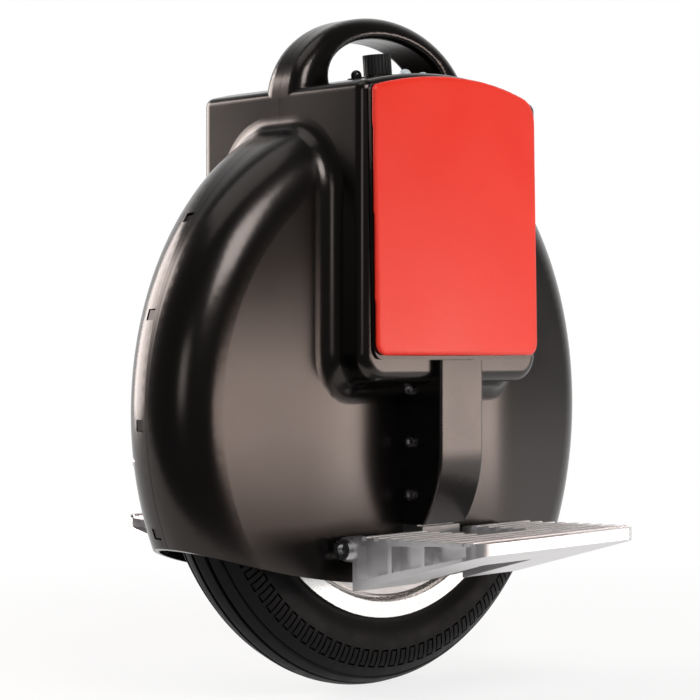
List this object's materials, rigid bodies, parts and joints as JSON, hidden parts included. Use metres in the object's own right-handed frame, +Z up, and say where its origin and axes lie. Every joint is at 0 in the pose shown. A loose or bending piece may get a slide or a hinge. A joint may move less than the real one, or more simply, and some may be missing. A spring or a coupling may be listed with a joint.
{
  "type": "electric unicycle",
  "caption": "Self-balancing electric unicycle: a hub-motor wheel in a rounded black shell with an arched carry handle, red leg pads and fold-up aluminium pedals.",
  "frame": {"origin": "on the ground under the axle, midway between the two sides", "axes": "+X forward along the direction of travel, +Y to the rider's left along the axle, +Z up"},
  "size_m": [0.39, 0.313, 0.433],
  "materials": {
    "shell_black": "satin moulded ABS",
    "trim_black": "fine matt",
    "cap_black": "matt, ribbed",
    "button_black": "high gloss",
    "pad_red": "soft-touch moulded foam",
    "pedal_alloy": "polished",
    "hanger_alloy": "bead blasted",
    "grip_rubber": "matt",
    "steel": "bright zinc",
    "bronze": "plain",
    "tyre": "matt tread rubber",
    "tube_rubber": "matt",
    "rim_alloy": "turned bright",
    "stator_iron": "stacked laminations",
    "copper": "enamelled wire",
    "magnet": "plated",
    "cell_wrap": "shrink wrapped",
    "case_blue": "shrink film",
    "foam": "foam tape",
    "circuit": "solder mask",
    "heat_sink": "extruded",
    "chip_black": "moulded epoxy",
    "can_black": "sleeved",
    "cable_black": "sheathed",
    "plug_white": "nylon",
    "contact": "plated",
    "lens": "clear dome"
  },
  "bodies": {
    "chassis": {"axle": "steel", "axle_nuts": "steel", "axle_washers": "steel", "battery_board": "circuit", "battery_case": "case_blue", "battery_cells": "cell_wrap", "battery_foams": "foam", "bearing_inner_rings": "steel", "button_bezel": "trim_black", "button_switch": "chip_black", "capacitors": "can_black", "charge_contacts": "contact", "charge_socket": "trim_black", "controller_board": "circuit", "controller_posts": "steel", "controller_sink": "heat_sink", "gyro_sensor": "chip_black", "hanger_bolts": "steel", "hinge_bushes": "bronze", "left_hanger": "hanger_alloy", "left_leg_pad": "pad_red", "left_pad_plate": "trim_black", "left_pillar_cover": "trim_black", "left_shell": "shell_black", "level_lights": "lens", "light_board": "circuit", "motor_cable": "cable_black", "motor_plug": "plug_white", "pillar_screws": "steel", "power_transistors": "chip_black", "right_hanger": "hanger_alloy", "right_leg_pad": "pad_red", "right_pad_plate": "trim_black", "right_pillar_cover": "trim_black", "right_shell": "shell_black", "shell_screws": "steel", "stator_core": "stator_iron", "stator_windings": "copper"},
    "wheel": {"tyre": "tyre", "inner_tube": "tube_rubber", "rim": "rim_alloy", "magnets": "magnet", "left_motor_cover": "rim_alloy", "right_motor_cover": "rim_alloy", "motor_cover_screws": "steel", "valve_stem": "bronze", "valve_cap": "tube_rubber", "bearing_outer_rings": "steel", "bearing_balls": "steel"},
    "left_pedal_arm": {"left_pedal": "pedal_alloy", "left_pedal_grips": "grip_rubber", "left_hinge_pin": "steel", "left_pin_screws": "steel"},
    "right_pedal_arm": {"right_pedal": "pedal_alloy", "right_pedal_grips": "grip_rubber", "right_hinge_pin": "steel", "right_pin_screws": "steel"},
    "cap": {"charge_cap": "cap_black"},
    "button": {"power_button": "button_black"}
  },
  "joints": [
    {"name": "wheel_spin", "type": "hinge", "parent": "chassis", "child": "wheel", "pos_m": [0, 0, 0.18], "axis": [0, 1, 0], "continuous": true},
    {"name": "left_pedal_fold", "type": "hinge", "parent": "chassis", "child": "left_pedal_arm", "pos_m": [0, 0.052, 0.0965], "axis": [1, 0, 0], "range_deg": [0, 55]},
    {"name": "right_pedal_fold", "type": "hinge", "parent": "chassis", "child": "right_pedal_arm", "pos_m": [0, -0.052, 0.0965], "axis": [-1, 0, 0], "range_deg": [0, 55]},
    {"name": "charge_cap_lift", "type": "slide", "parent": "chassis", "child": "cap", "axis": [-0.0977, 0, 0.9952], "range_m": [0, 0.025]},
    {"name": "power_button_press", "type": "slide", "parent": "chassis", "child": "button", "axis": [0.1628, 0, -0.9867], "range_m": [0, 0.0015], "stiffness_N_per_m": 1500}
  ]
}
